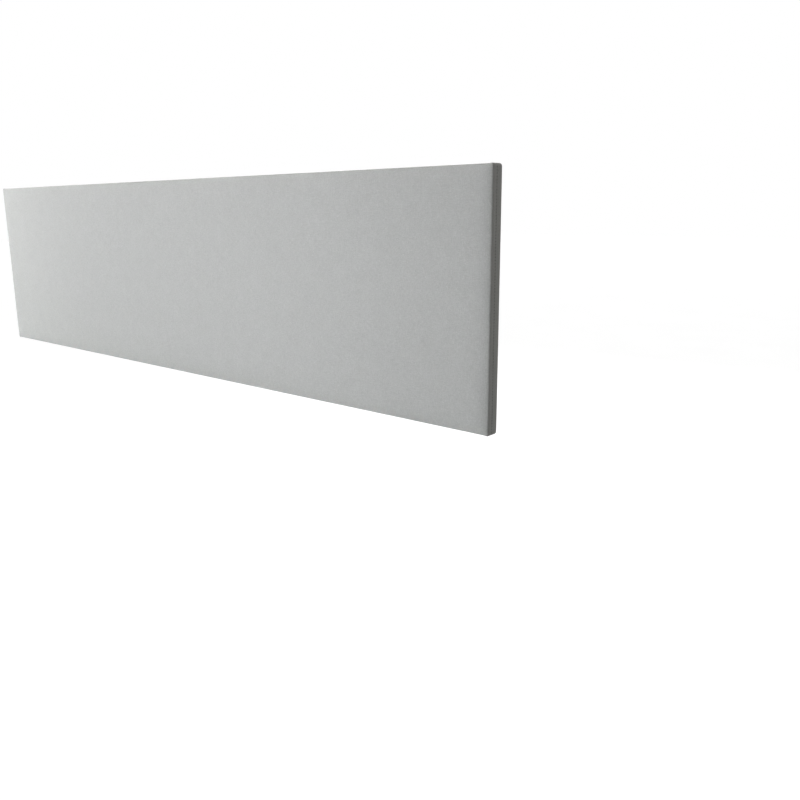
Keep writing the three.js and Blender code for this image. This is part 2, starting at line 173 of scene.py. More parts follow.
# The fabric cover: two dished halves of light grey felted wool blend, 0.9 mm thick, drawn
# tight over foam. The faces roll off softly to a close edge, where the halves' hems turn in
# to a sewn seam, and the sewn corners stand up a little.
fabric_thickness = 0.0009
outline_radius = 0.0035
hem_depth = 0.001
hem_radius = 0.0008
outer_roll_depth = 0.0028
rear_roll_depth = 0.0014
roll_width = 0.025
corner_rise = 0.0012
corner_reach = Vector((0.012, 0, 0.02))
outer_edge_radii = (0.0022, 0.0018)
rear_edge_radii = (0.0014, 0.005)
slack = 0.0005
slack_spacing = 0.21
slack_margin = 0.06
clamp_margin = 0.05
grid_spacing = 0.032
grid_near_rim = (0.0056, 0.0075, 0.0095, 0.012, 0.015, 0.018, 0.024, 0.034, 0.048)
wall_cuts = (0.5, 0.65, 0.8)
same_place = 1e-6
on_rim = 1e-5
overcut = 0.01
screw_hole_radius = 0.0034
clamp_places = {"left": -0.5, "right": 0.5}
fixing_offsets = {
    "upper_left": (-0.018, -0.012),
    "upper_right": (0.018, -0.012),
    "lower_left": (-0.018, -0.045),
    "lower_right": (0.018, -0.045),
}
web_low, web_high = Vector((-0.03, 0, -0.0586)), Vector((0.03, 0, 0.0053))
wool_grey = (0.477, 0.478, 0.475)
wool_light = (0.546, 0.547, 0.544)
wool_dark = (0.414, 0.415, 0.412)
# The colour of the painted shade in the needle holes along the seam.
painted_hole_shade = (0.18, 0.18, 0.175)
hole_reach = (0.0003, 0.0016)
fibre_size, yarn_size, mottle_size = 0.0013, 0.0009, 0.03
yarn_spacing = 0.0011
yarn_height = 0.12
stitch_length = 0.2 / 44

outer_low, outer_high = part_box("outer_cover")
rear_low, rear_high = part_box("rear_cover")
panel_middle = (outer_low + rear_high) / 2
panel_half = (rear_high - outer_low) / 2
seam_y = (outer_high.y + rear_low.y) / 2


def take_up(piece):
    """Select one piece alone, to work on it."""
    if bpy.context.object and bpy.context.object.mode != "OBJECT":
        bpy.ops.object.mode_set(mode="OBJECT")
    bpy.ops.object.select_all(action="DESELECT")
    piece.select_set(True)
    bpy.context.view_layer.objects.active = piece


def start_from(add, name, **settings):
    """Add a primitive with its size and place in its mesh, and take it up."""
    bpy.ops.object.select_all(action="DESELECT")
    add(**settings)
    piece = bpy.context.object
    piece.name = piece.data.name = name
    bpy.ops.object.transform_apply(location=True, rotation=True, scale=True)
    return piece


def start_block(name, low, high):
    low, high = Vector(low), Vector(high)
    return start_from(
        bpy.ops.mesh.primitive_cube_add, name, size=1, location=(low + high) / 2, scale=high - low
    )


def start_bar(name, radius, end, other_end, sides=32):
    """A round or many-sided bar between two points."""
    end, other_end = Vector(end), Vector(other_end)
    turn = (other_end - end).to_track_quat("Z", "X").to_euler()
    return start_from(
        bpy.ops.mesh.primitive_cylinder_add, name, vertices=sides, radius=radius,
        depth=(other_end - end).length, location=(end + other_end) / 2, rotation=turn,
    )


def pick(piece, kind, chosen):
    """In edit mode, select the verts, edges or faces of the piece that pass a test."""
    bpy.ops.object.mode_set(mode="EDIT")
    bpy.ops.mesh.select_mode(type={"verts": "VERT", "edges": "EDGE", "faces": "FACE"}[kind])
    bpy.ops.mesh.select_all(action="DESELECT")
    body = bmesh.from_edit_mesh(piece.data)
    for part in getattr(body, kind):
        if chosen(part):
            part.select_set(True)
    body.select_flush_mode()
    bmesh.update_edit_mesh(piece.data)


def runs_along(edge, axis):
    """True if an edge is parallel to an axis."""
    line = edge.verts[1].co - edge.verts[0].co
    return abs(line[axis]) > 0.999 * line.length


def cut_across(axis, at):
    """In edit mode, cut the whole mesh along a plane across an axis."""
    place, normal = Vector(), Vector()
    place[axis], normal[axis] = at, 1
    bpy.ops.mesh.select_all(action="SELECT")
    bpy.ops.mesh.bisect(plane_co=place, plane_no=normal)


def apply_modifier(piece, kind, **settings):
    """Give the piece a modifier and make its result the mesh."""
    take_up(piece)
    modifier = piece.modifiers.new(kind.lower(), kind)
    for name, value in settings.items():
        setattr(modifier, name, value)
    bpy.ops.object.modifier_apply(modifier=modifier.name)


def tidy_shell(piece):
    """Merge doubled points, drop loose ones and turn all faces outwards."""
    take_up(piece)
    bpy.ops.object.mode_set(mode="EDIT")
    bpy.ops.mesh.select_mode(type="VERT")
    bpy.ops.mesh.select_all(action="SELECT")
    bpy.ops.mesh.remove_doubles(threshold=same_place)
    bpy.ops.mesh.delete_loose(use_verts=True, use_edges=True, use_faces=False)
    bpy.ops.mesh.select_all(action="SELECT")
    bpy.ops.mesh.normals_make_consistent(inside=False)
    bpy.ops.object.mode_set(mode="OBJECT")


def cut_away(piece, *tools):
    """Cut each tool's shape out of the piece, and put the tool away."""
    for tool in tools:
        apply_modifier(piece, "BOOLEAN", operation="DIFFERENCE", object=tool, solver="EXACT")
        bpy.data.objects.remove(tool)
    tidy_shell(piece)


def finish_piece(piece, body, finish, nodes=(), smooth_angle=None):
    """Smooth a made piece, give it its finish, and let it ride in place of its nodes."""
    take_up(piece)
    if smooth_angle is None:
        bpy.ops.object.shade_smooth()
    else:
        bpy.ops.object.shade_smooth_by_angle(angle=math.radians(smooth_angle))
    piece.data.materials.clear()
    piece.data.materials.append(finish)
    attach(piece, body)
    if nodes:
        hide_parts(*nodes)


def depth_from_rim(point):
    """How far a point lies inside the panel's outline, seen from the front."""
    x = abs(point.x - panel_middle.x) - (panel_half.x - outline_radius)
    z = abs(point.z - panel_middle.z) - (panel_half.z - outline_radius)
    outside = math.hypot(max(x, 0), max(z, 0))
    return outline_radius - (outside + min(max(x, z), 0))


def corner_lift(point):
    """How far the cover's sewn corners stand up, or down, beyond the outline."""
    gaps = [panel_half[axis] - abs(point[axis] - panel_middle[axis]) for axis in (0, 2)]
    near_end = max(1 - gaps[0] / corner_reach.x, 0)
    near_rim = max(1 - gaps[1] / corner_reach.z, 0)
    return math.copysign(corner_rise * near_end**2 * near_rim, point.z - panel_middle.z)


def distance_from_clamps(point):
    """How far a point lies from the nearest bracket's web, seen from behind."""
    gaps = []
    for clamp_x in clamp_places.values():
        x = max(web_low.x - (point.x - clamp_x), (point.x - clamp_x) - web_high.x, 0)
        z = max(web_low.z - point.z, point.z - web_high.z, 0)
        gaps.append(math.hypot(x, z))
    return min(gaps)


def settle(sheet, face_y, still_y):
    """Let a sheet's face sink near the rim and waver a little, and its far side stay."""
    inward = math.copysign(1, still_y - face_y)
    roll_depth = outer_roll_depth if inward > 0 else rear_roll_depth
    for vertex in sheet.data.vertices:
        point = vertex.co
        inside = max(depth_from_rim(point), 0)
        share = (still_y - point.y) / (still_y - face_y)
        roll = max(1 - inside / roll_width, 0) ** 2 * roll_depth
        broad = noise.noise(Vector((point.x, inward, point.z * 1.3)) / slack_spacing)
        fine = noise.noise(Vector((point.x, inward * 2, point.z)) / (slack_spacing / 3))
        waver = slack * (1 + broad + 0.3 * fine) * min(inside / slack_margin, 1)
        if inward < 0:
            waver *= min(distance_from_clamps(point) / clamp_margin, 1)
        point.y += inward * share * (roll + waver)


def cut_grid(sheet):
    """Cut a sheet into a grid that is finer near the rim."""
    pick(sheet, "faces", lambda f: True)
    for axis in (0, 2):
        half, middle = panel_half[axis], panel_middle[axis]
        steps = int((half - grid_near_rim[-1]) / grid_spacing)
        near_middle = [i * grid_spacing for i in range(steps + 1)]
        for offset in [half - d for d in grid_near_rim] + near_middle:
            for side in (-1, 1) if offset else (1,):
                cut_across(axis, middle + side * offset)


def cover_half(name, face_y, edge_y, end_radius, long_radius):
    """One half of the cover: a dish from its face back to the seam, with a hem turned in."""
    low = Vector((-panel_half.x, min(face_y, edge_y), panel_middle.z - panel_half.z))
    high = Vector((panel_half.x, max(face_y, edge_y), panel_middle.z + panel_half.z))
    cloth = start_block(name, low, high)
    pick(cloth, "faces", lambda f: abs(f.calc_center_median().y - edge_y) < same_place)
    bpy.ops.mesh.delete(type="FACE")
    pick(cloth, "edges", lambda e: runs_along(e, 1))
    bpy.ops.mesh.bevel(offset=outline_radius, segments=6, affect="EDGES")
    cut_grid(cloth)
    for share in wall_cuts:
        cut_across(1, face_y + share * (edge_y - face_y))
    bpy.ops.object.mode_set(mode="OBJECT")

    widest = max(long_radius, end_radius)
    weights = cloth.data.attributes.new("bevel_weight_edge", "FLOAT", "EDGE")
    for edge in cloth.data.edges:
        ends = [cloth.data.vertices[i].co for i in edge.vertices]
        if all(abs(p.y - face_y) < same_place and depth_from_rim(p) < on_rim for p in ends):
            along = (ends[1] - ends[0]).normalized()
            radius = end_radius + (long_radius - end_radius) * abs(along.x)
            weights.data[edge.index].value = radius / widest
    apply_modifier(
        cloth, "BEVEL", limit_method="WEIGHT", width=widest, segments=5, use_clamp_overlap=False
    )

    pick(cloth, "edges", lambda e: e.is_boundary)
    bpy.ops.mesh.extrude_region_move()
    inward = Vector([1 - hem_depth / half for half in panel_half])
    bpy.ops.transform.resize(value=(inward.x, 1, inward.z), center_override=panel_middle)

    def at_seam(edge):
        points = [v.co for v in edge.verts]
        return all(abs(p.y - edge_y) < same_place and depth_from_rim(p) < on_rim for p in points)

    pick(cloth, "edges", at_seam)
    bpy.ops.mesh.bevel(offset=hem_radius, segments=3, affect="EDGES")
    bpy.ops.object.mode_set(mode="OBJECT")
    settle(cloth, face_y, edge_y)
    for vertex in cloth.data.vertices:
        vertex.co.z += corner_lift(vertex.co)
    tidy_shell(cloth)
    apply_modifier(cloth, "SOLIDIFY", thickness=fabric_thickness, offset=-1)
    return cloth


def blend_colours(finish, factor, stops):
    """Colours that follow a factor, given as (place from 0 to 1, colour)."""
    ramp = add_node(finish, "ShaderNodeValToRGB", {"Fac": factor})
    ramp.color_ramp.elements.remove(ramp.color_ramp.elements[0])
    for index, (at, colour) in enumerate(stops):
        stop = ramp.color_ramp.elements[0] if index == 0 else ramp.color_ramp.elements.new(at)
        stop.position, stop.color = at, (*colour, 1)
    return ramp.outputs["Color"]


def raise_surface(finish, shader, height, depth, strength=1.0):
    """Bump: a height from 0 to 1 stands for depth metres."""
    inputs = {"Height": height, "Distance": depth, "Strength": strength}
    bump = add_node(finish, "ShaderNodeBump", inputs).outputs["Normal"]
    join_input(finish, shader, "Normal", bump)


def weave(finish, place, spacing):
    """Crossing yarns: a height that rises and falls along each axis."""
    turns = add_node(finish, "ShaderNodeVectorMath", {0: place}, operation="SCALE")
    turns.inputs["Scale"].default_value = 2 * math.pi / spacing
    waves = add_node(finish, "ShaderNodeVectorMath", {0: turns.outputs[0]}, operation="SINE")
    sum_of = {0: waves.outputs[0], 1: (yarn_height,) * 3}
    return add_node(finish, "ShaderNodeVectorMath", sum_of, operation="DOT_PRODUCT").outputs[1]


def add_up(finish, one, other, how="ADD"):
    return add_node(finish, "ShaderNodeMath", {0: one, 1: other}, operation=how).outputs[0]


def needle_hole_shade_mask(finish, place):
    """Painted shade at the needle holes: 1 at each one along the seam, falling to 0 between them
    and beside the seam.
    """
    middle = {"Vector": place, "Location": -Vector((panel_middle.x, seam_y, panel_middle.z))}
    centred = add_node(finish, "ShaderNodeMapping", middle).outputs[0]
    parts = add_node(finish, "ShaderNodeSeparateXYZ", {0: centred}).outputs
    waves = []
    for axis in ("X", "Z"):
        turns = add_up(finish, parts[axis], 2 * math.pi / stitch_length, "MULTIPLY")
        waves.append(add_node(finish, "ShaderNodeMath", {0: turns}, operation="COSINE").outputs[0])
    both = add_up(finish, *waves, "MULTIPLY")
    away = add_node(finish, "ShaderNodeMath", {0: parts["Y"]}, operation="ABSOLUTE").outputs[0]
    near = {"Value": away, "From Min": hole_reach[0], "From Max": hole_reach[1]}
    near |= {"To Min": 1, "To Max": 0}
    beside = add_node(finish, "ShaderNodeMapRange", near).outputs[0]
    dots = {"Value": both, "From Min": 0.2, "From Max": 0.9}
    spots = add_node(finish, "ShaderNodeMapRange", dots).outputs[0]
    return add_up(finish, beside, spots, "MULTIPLY")


wool, shader = new_finish("felted_wool", wool_grey, 0.93)
place = object_place(wool)
fibres = grain(wool, place, fibre_size, detail=4, distortion=1.2)
warp = grain(wool, object_place(wool, scale=(1, 1, 0.12)), yarn_size)
weft = grain(wool, object_place(wool, scale=(0.12, 1, 1)), yarn_size)
mottle = grain(wool, place, mottle_size)
combed = add_up(wool, span(wool, warp, -0.08, 0.08), span(wool, weft, -0.08, 0.08))
mixed = add_up(wool, add_up(wool, fibres, combed), span(wool, mottle, -0.025, 0.025))
stops = [(0.3, wool_dark), (0.5, wool_grey), (0.7, wool_light)]
# The needle holes are dark dots of painted shade, mixed into the cloth's colour along the seam.
hole_shade_inputs = {
    0: needle_hole_shade_mask(wool, place), 6: blend_colours(wool, mixed, stops), 7: (*painted_hole_shade, 1)
}
cloth_colour = add_node(wool, "ShaderNodeMix", hole_shade_inputs, data_type="RGBA").outputs[2]
join_input(wool, shader, "Base Color", cloth_colour)
join_input(wool, shader, "Roughness", span(wool, fibres, 0.88, 0.98))
shader.inputs["Sheen Weight"].default_value = 0.15
shader.inputs["Sheen Roughness"].default_value = 0.6
shader.inputs["Specular IOR Level"].default_value = 0.25
nap = add_up(wool, add_up(wool, weave(wool, place, yarn_spacing), fibres), combed)
raise_surface(wool, shader, nap, 0.00012, 0.6)

outer_cloth = cover_half("outer_cloth", outer_low.y, outer_high.y, *outer_edge_radii)
finish_piece(outer_cloth, "screen", wool, ["outer_cover"], smooth_angle=60)

rear_cloth = cover_half("rear_cloth", rear_high.y, rear_low.y, *rear_edge_radii)
for clamp_x in clamp_places.values():
    for x, z in fixing_offsets.values():
        place = Vector((clamp_x + x, rear_high.y, z))
        through = Vector((0, overcut, 0))
        hole = start_bar("screw_hole", screw_hole_radius, place - through, place + through, 20)
        cut_away(rear_cloth, hole)
finish_piece(rear_cloth, "screen", wool, ["rear_cover"], smooth_angle=60)


# The seam's thread: one bonded polyester thread, sewn right round the panel's edge. It lies
# in the groove between the two hems, and dives into a needle hole after every stitch.
thread_radius = 0.00034
thread_height = -0.00042
thread_dip = -0.00125
stitch_rise = 0.0006
stitch_shape = ((0.14, -0.2), (0.32, 0.16), (0.68, 0.16), (0.86, -0.2))
corner_stitches = 3
corner_length = outline_radius * math.pi / 2
ply_spacing = 0.0007
thread_grey = (0.30, 0.305, 0.30)


def along_edge(distance):
    """The point at a distance round the panel's outline, from its top left, and outwards."""
    half_x, half_z = panel_half.x - outline_radius, panel_half.z - outline_radius
    for index in range(4):
        length = 2 * (half_x if index % 2 == 0 else half_z)
        across = panel_half.z if index % 2 == 0 else panel_half.x
        turn = Matrix.Rotation(index * math.pi / 2, 3, "Y")
        if distance <= length:
            return turn @ Vector((distance - length / 2, 0, across)), turn @ Vector((0, 0, 1))
        distance -= length
        if distance <= corner_length:
            angle = distance / outline_radius
            out = Vector((math.sin(angle), 0, math.cos(angle)))
            hub = Vector((length / 2, 0, across - outline_radius))
            return turn @ (hub + outline_radius * out), turn @ out
        distance -= corner_length
    return along_edge(0)


def vary(finish, shader, colours, roughness, relief):
    """Vary the colour by (factor, stops), the roughness by (factor, low, high) and the relief
    by (height, depth, strength)."""
    join_input(finish, shader, "Base Color", blend_colours(finish, *colours))
    join_input(finish, shader, "Roughness", span(finish, *roughness))
    raise_surface(finish, shader, *relief)


needle_places = []
start = 0
for side in range(4):
    length = 2 * ((panel_half.x if side % 2 == 0 else panel_half.z) - outline_radius)
    whole = int(length / 2 / stitch_length)
    straight = [start + length / 2 + k * stitch_length for k in range(-whole, whole + 1)]
    over = length / 2 - whole * stitch_length
    corner = 2 * over + corner_length
    needle_places += straight
    needle_places += [
        straight[-1] + corner * k / corner_stitches for k in range(1, corner_stitches)
    ]
    start += length + corner_length

outline_length = start
thread_points = []
stitch_heights = [(share, thread_height + height * stitch_rise) for share, height in stitch_shape]
for here, there in zip(needle_places, needle_places[1:] + [needle_places[0] + outline_length]):
    for share, rise in [(0, thread_dip), *stitch_heights]:
        point, out = along_edge((here + share * (there - here)) % outline_length)
        place = panel_middle + point + out * rise
        thread_points.append((place.x, seam_y, place.z + corner_lift(place)))

path = bpy.data.curves.new("seam_thread", "CURVE")
path.dimensions = "3D"
path.bevel_depth = thread_radius
path.bevel_resolution = 1
run = path.splines.new("POLY")
run.points.add(len(thread_points) - 1)
for point, place in zip(run.points, thread_points):
    point.co = (*place, 1)
run.use_cyclic_u = True
seam_thread = bpy.data.objects.new("seam_thread", path)
bpy.context.collection.objects.link(seam_thread)
take_up(seam_thread)
bpy.ops.object.convert(target="MESH")
seam_thread = bpy.context.object

polyester, shader = new_finish("polyester_thread", thread_grey, 0.55)
place = object_place(polyester, scale=(1, 1.7, 1), turn=(0.6, 0, 0))
plies = weave(polyester, place, ply_spacing)
stops = [(0.2, (0.22, 0.225, 0.22)), (0.7, (0.36, 0.365, 0.36))]
gloss = grain(polyester, place, 0.002)
# The thread's colour follows its ply relief, as painted shade: darker in the grooves between the
# plies.
ply_groove_shade = add_up(polyester, plies, 0.5)
vary(polyester, shader, (ply_groove_shade, stops), (gloss, 0.45, 0.65), (plies, 0.0001, 0.7))
finish_piece(seam_thread, "screen", polyester)


# The foam facings: 3 mm sheets of grey open-cell foam glued to both sides of the frame.
# The cover presses them thin round the rim, which gives the panel its soft edge.
foam_rim_radius = 0.0012
foam_inset = 0.0012
foam_grey = (0.27, 0.275, 0.28)
cell_size = 0.0012


def foam_sheet(name, node, face_y, glued_y):
    low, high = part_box(node)
    foam = start_block(name, low, high)
    pick(foam, "edges", lambda e: runs_along(e, 1))
    bpy.ops.mesh.bevel(offset=outline_radius - foam_inset, segments=6, affect="EDGES")
    cut_grid(foam)
    bpy.ops.object.mode_set(mode="OBJECT")
    apply_modifier(
        foam, "BEVEL", width=foam_rim_radius, segments=2, limit_method="ANGLE",
        angle_limit=math.radians(60),
    )
    settle(foam, face_y, glued_y)
    return foam


foam_finish, shader = new_finish("open_cell_foam", foam_grey, 0.9)
place = object_place(foam_finish)
cells = add_node(foam_finish, "ShaderNodeTexVoronoi", {"Vector": place, "Scale": 1 / cell_size})
cell_depth_and_shade = cells.outputs["Distance"]
# The foam's colour follows its cell relief, as painted shade: dark in each cell's hollow, lighter
# towards its rim.
stops = [(0.1, (0.12, 0.122, 0.125)), (0.45, foam_grey), (0.8, (0.36, 0.365, 0.37))]
patches = grain(foam_finish, place, 0.01)
vary(foam_finish, shader, (cell_depth_and_shade, stops), (patches, 0.84, 0.96), (cell_depth_and_shade, 0.0004, 0.8))

for side, face, glued in (("outer", 0, 1), ("rear", 1, 0)):
    ends = [corner.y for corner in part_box(f"{side}_foam")]
    foam = foam_sheet(f"{side}_foam_sheet", f"{side}_foam", ends[face], ends[glued])
    finish_piece(foam, "screen", foam_finish, [f"{side}_foam"], smooth_angle=50)


# The timber frame: planed softwood 18 mm thick, a wide bottom rail that the clamps screw
# into, a top rail and four uprights, dowelled and glued. The solids' own shapes are right.
ring_size, pore_size = 0.016, 0.0016
timber_colours = [
    (0.28, (0.42, 0.25, 0.11)),
    (0.45, (0.60, 0.40, 0.20)),
    (0.62, (0.68, 0.47, 0.26)),
    (0.8, (0.50, 0.31, 0.15)),
]


def timber_finish(name, stretch):
    """Softwood: growth rings seen along the grain, drawn out the long way of the member."""
    wood, shader = new_finish(name, (0.64, 0.43, 0.21), 0.55)
    place = object_place(wood, scale=stretch)
    rings = grain(wood, place, ring_size, detail=3, distortion=1.6)
    pores = grain(wood, place, pore_size, detail=2)
    mixed = add_up(wood, rings, span(wood, pores, -0.06, 0.06))
    vary(wood, shader, (mixed, timber_colours), (pores, 0.45, 0.68), (mixed, 0.0003, 0.5))
    return wood


rail_timber = timber_finish("rail_timber", (0.06, 1, 1))
upright_timber = timber_finish("upright_timber", (1, 1, 0.06))
for timber, nodes in (
    (rail_timber, ("bottom_rail", "top_rail")),
    (upright_timber, ("left_stile", "left_mullion", "right_mullion", "right_stile")),
):
    for node in nodes:
        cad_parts[node].data.materials.clear()
        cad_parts[node].data.materials.append(timber)


# The dowels: sixteen fluted beech pegs, 8 by 40 mm with chamfered ends, glued across the
# joints between the uprights and the rails, two to a joint.
flute_count = 18
flute_depth = 0.00035
dowel_chamfer = 0.0009
dowel_rim = 0.0005
beech_colours = [
    (0.3, (0.44, 0.24, 0.10)), (0.5, (0.58, 0.35, 0.17)), (0.75, (0.66, 0.43, 0.23))
]


def copy_of(piece, name, shift):
    """A copy of a piece with its own mesh, moved in it."""
    twin = piece.copy()
    twin.data = piece.data.copy()
    twin.name = twin.data.name = name
    bpy.context.collection.objects.link(twin)
    twin.data.transform(Matrix.Translation(shift))
    return twin


def put_away(piece):
    """Remove a pattern that has been copied."""
    bpy.data.objects.remove(piece)


low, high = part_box("left_stile_bottom_dowel_a")
dowel_radius = (high.x - low.x) / 2
dowel_half = Vector((0, 0, (high.z - low.z) / 2))
peg = start_bar("dowel", dowel_radius, -dowel_half, dowel_half, 2 * flute_count)
pick(peg, "verts", lambda v: round(math.atan2(v.co.x, v.co.y) / math.pi * flute_count) % 2)
narrow = 1 - flute_depth / dowel_radius
bpy.ops.transform.resize(value=(narrow, narrow, 1), center_override=(0, 0, 0))
pick(peg, "faces", lambda f: abs(f.normal.z) > 0.9)
bpy.ops.mesh.inset(thickness=dowel_chamfer)
bpy.ops.object.mode_set(mode="OBJECT")
for vertex in peg.data.vertices:
    at_end = abs(vertex.co.z) > dowel_half.z - same_place
    if at_end and vertex.co.xy.length > dowel_radius - dowel_rim:
        vertex.co.z -= math.copysign(dowel_chamfer, vertex.co.z)

beech, shader = new_finish("beech", (0.58, 0.32, 0.12), 0.5)
place = object_place(beech, scale=(1, 1, 0.1))
streaks = grain(beech, place, 0.0015, detail=3)
vary(beech, shader, (streaks, beech_colours), (streaks, 0.42, 0.6), (streaks, 0.0002, 0.5))

for node in sorted(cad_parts):
    if "_dowel_" in node:
        low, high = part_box(node)
        dowel = copy_of(peg, f"{node}_peg", (low + high) / 2)
        finish_piece(dowel, "screen", beech, [node], smooth_angle=20)
put_away(peg)


# The absorbing infill: three slabs of pressed recycled fibre, cut a little under the bays
# and pushed in, with rough faces and soft arrises where the saw has gone.
slab_edge_radius = 0.0025
slab_grid = 0.024
slab_roughness = 0.0006
slab_bump_size = 0.03
fibre_colours = [
    (0.25, (0.42, 0.42, 0.39)), (0.45, (0.62, 0.62, 0.58)), (0.6, (0.72, 0.72, 0.68)),
    (0.75, (0.55, 0.57, 0.58)),
]
pressed_fibre, shader = new_finish("pressed_fibre", (0.7, 0.7, 0.66), 0.95)
place = object_place(pressed_fibre)
layered = object_place(pressed_fibre, scale=(1, 1, 3))
strands = grain(pressed_fibre, layered, 0.003, detail=4, distortion=2)
tufts = grain(pressed_fibre, place, 0.012, detail=3, distortion=1)
mixed = add_up(pressed_fibre, strands, span(pressed_fibre, tufts, -0.1, 0.1))
vary(pressed_fibre, shader, (mixed, fibre_colours), (tufts, 0.9, 1.0), (mixed, 0.0012, 0.8))
shader.inputs["Sheen Weight"].default_value = 0.2

for node in ("left_infill", "middle_infill", "right_infill"):
    low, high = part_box(node)
    slab = start_block(f"{node}_slab", low, high)
    pick(slab, "edges", lambda e: True)
    bpy.ops.mesh.bevel(offset=slab_edge_radius, segments=2, affect="EDGES")
    for axis in (0, 2):
        count = int((high[axis] - low[axis]) / slab_grid)
        for index in range(1, count):
            cut_across(axis, low[axis] + (high[axis] - low[axis]) * index / count)
    bpy.ops.object.mode_set(mode="OBJECT")
    middle = (low + high) / 2
    for vertex in slab.data.vertices:
        rough = slab_roughness * (1 + noise.noise(vertex.co / slab_bump_size)) / 2
        vertex.co.y -= math.copysign(rough, vertex.co.y - middle.y)
    finish_piece(slab, "screen", pressed_fibre, [node], smooth_angle=50)


# The threaded inserts: eight zinc-plated steel sleeves with a coarse outside thread, driven
# into the bottom rail from behind until their flanges are flush.
insert_lead = 0.0028
insert_crest = 0.00495
insert_root = 0.0042
insert_bore = 0.0033
flange_thickness = 0.0012
flange_edge = 0.0002
thread_end = 0.0008
zinc_colours = [
    (0.3, (0.40, 0.42, 0.45)), (0.5, (0.52, 0.53, 0.55)), (0.7, (0.60, 0.60, 0.58))
]


def turn_on_lathe(name, profile, sides=48, lead=0.0, turns=1):
    """Spin a profile of (radius, height) about the Z axis, climbing by lead each turn."""
    mesh = bpy.data.meshes.new(name)
    points = [(radius, 0, height) for radius, height in profile]
    edges = [(i, i + 1) for i in range(len(points) - 1) if points[i][0] or points[i + 1][0]]
    mesh.from_pydata(points, edges, [])
    piece = bpy.data.objects.new(name, mesh)
    bpy.context.collection.objects.link(piece)
    apply_modifier(
        piece, "SCREW", axis="Z", angle=2 * math.pi, screw_offset=lead, iterations=turns,
        steps=sides, render_steps=sides, use_merge_vertices=True, merge_threshold=same_place,
    )
    tidy_shell(piece)
    return piece


thread_rise_end = 0.42
cut_tolerance = 1e-7


def threaded_bar(name, crest, root, lead, low, high, sides=24, flat=0.15):
    """A bar with a real helical thread between two heights, its ends cut square."""
    turns = int((high - low) / lead) + 2
    rise_end = thread_rise_end * lead
    form = [
        (root, 0), (root, flat * lead), (crest, rise_end), (crest, rise_end + flat * lead),
        (root, lead),
    ]
    start = low - lead * 1.5
    profile = [(radius, start + height) for radius, height in form]
    bar = turn_on_lathe(name, profile, sides, lead, turns + 2)
    for at, below in ((low, True), (high, False)):
        take_up(bar)
        bpy.ops.object.mode_set(mode="EDIT")
        bpy.ops.mesh.select_all(action="SELECT")
        bpy.ops.mesh.bisect(
            plane_co=(0, 0, at), plane_no=(0, 0, 1), threshold=cut_tolerance, use_fill=True,
            clear_inner=below, clear_outer=not below,
        )
        bpy.ops.object.mode_set(mode="OBJECT")
    tidy_shell(bar)
    return bar


def weld_on(piece, *others):
    """Join solid shapes into the piece as one solid."""
    for other in others:
        apply_modifier(piece, "BOOLEAN", operation="UNION", object=other, solver="EXACT")
        bpy.data.objects.remove(other)
    tidy_shell(piece)


def ease_edges(piece, width, segments=2, angle=35):
    """Round every edge that is sharper than an angle."""
    apply_modifier(
        piece, "BEVEL", width=width, segments=segments, limit_method="ANGLE",
        angle_limit=math.radians(angle),
    )


def flatten_shading(piece):
    """Let the large faces set the shading where they meet an eased edge, so they look flat."""
    apply_modifier(piece, "WEIGHTED_NORMAL", keep_sharp=True)


towards_board = Matrix.Rotation(-math.pi / 2, 4, "X")

zinc, shader = new_finish("zinc_plate", (0.49, 0.50, 0.53), 0.3, metallic=1.0)
place = object_place(zinc)
clouds = grain(zinc, place, 0.004, detail=3)
scuffs = grain(zinc, object_place(zinc, scale=(1, 1, 6)), 0.0015, detail=3)
vary(zinc, shader, (clouds, zinc_colours), (scuffs, 0.24, 0.42), (scuffs, 0.00003, 0.5))

low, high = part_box("left_insert_upper_left")
insert_length = high.y - low.y
flange_radius = (high.x - low.x) / 2
sleeve = threaded_bar(
    "insert", insert_crest, insert_root, insert_lead, 0, insert_length - thread_end, 20, 0.1
)
flange_low = insert_length - flange_thickness
flange = [
    (0, flange_low), (flange_radius - flange_edge, flange_low),
    (flange_radius, flange_low + flange_edge), (flange_radius, insert_length - flange_edge),
    (flange_radius - flange_edge, insert_length), (0, insert_length),
]
weld_on(sleeve, turn_on_lathe("flange", flange, 32))
cut_away(sleeve, start_bar("bore", insert_bore, (0, 0, -overcut), (0, 0, 3 * overcut), 24))
sleeve.data.transform(towards_board)
for side, clamp_x in clamp_places.items():
    for corner, (x, z) in fixing_offsets.items():
        node = f"{side}_insert_{corner}"
        insert = copy_of(sleeve, f"{node}_sleeve", (clamp_x + x, low.y, z))
        finish_piece(insert, "screen", zinc, [node], smooth_angle=30)
put_away(sleeve)


# The brackets: each is one 60 by 3 mm strip of steel, bent into a channel that takes the
# board's edge, with rounded flange corners, drilled, and powder coated black with a fine
# texture.
strip_thickness = 0.003
bend_radius = 0.003
bend_steps = 8
flange_corner_radius = 0.010
fixing_hole_radius = 0.0033
clamp_screw_y = 0.038
clamp_hole_radius = 0.0045
strip_edge_radius = 0.00035

low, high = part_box("left_bracket")
web_rear, flange_end = low.y, high.y
web_front = web_rear + strip_thickness
strip_half = (high.x - low.x) / 2
inside_top, inside_bottom = high.z - strip_thickness, low.z + strip_thickness
strip = bpy.data.objects.new("bracket", bpy.data.meshes.new("bracket"))
bpy.context.collection.objects.link(strip)


def bend(hub_y, hub_z, radius, first, last):
    """Points along a bend, seen from the strip's end, between two angles in degrees."""
    angles = [math.radians(first + (last - first) * i / bend_steps) for i in range(bend_steps + 1)]
    return [(hub_y + radius * math.cos(a), hub_z + radius * math.sin(a)) for a in angles]


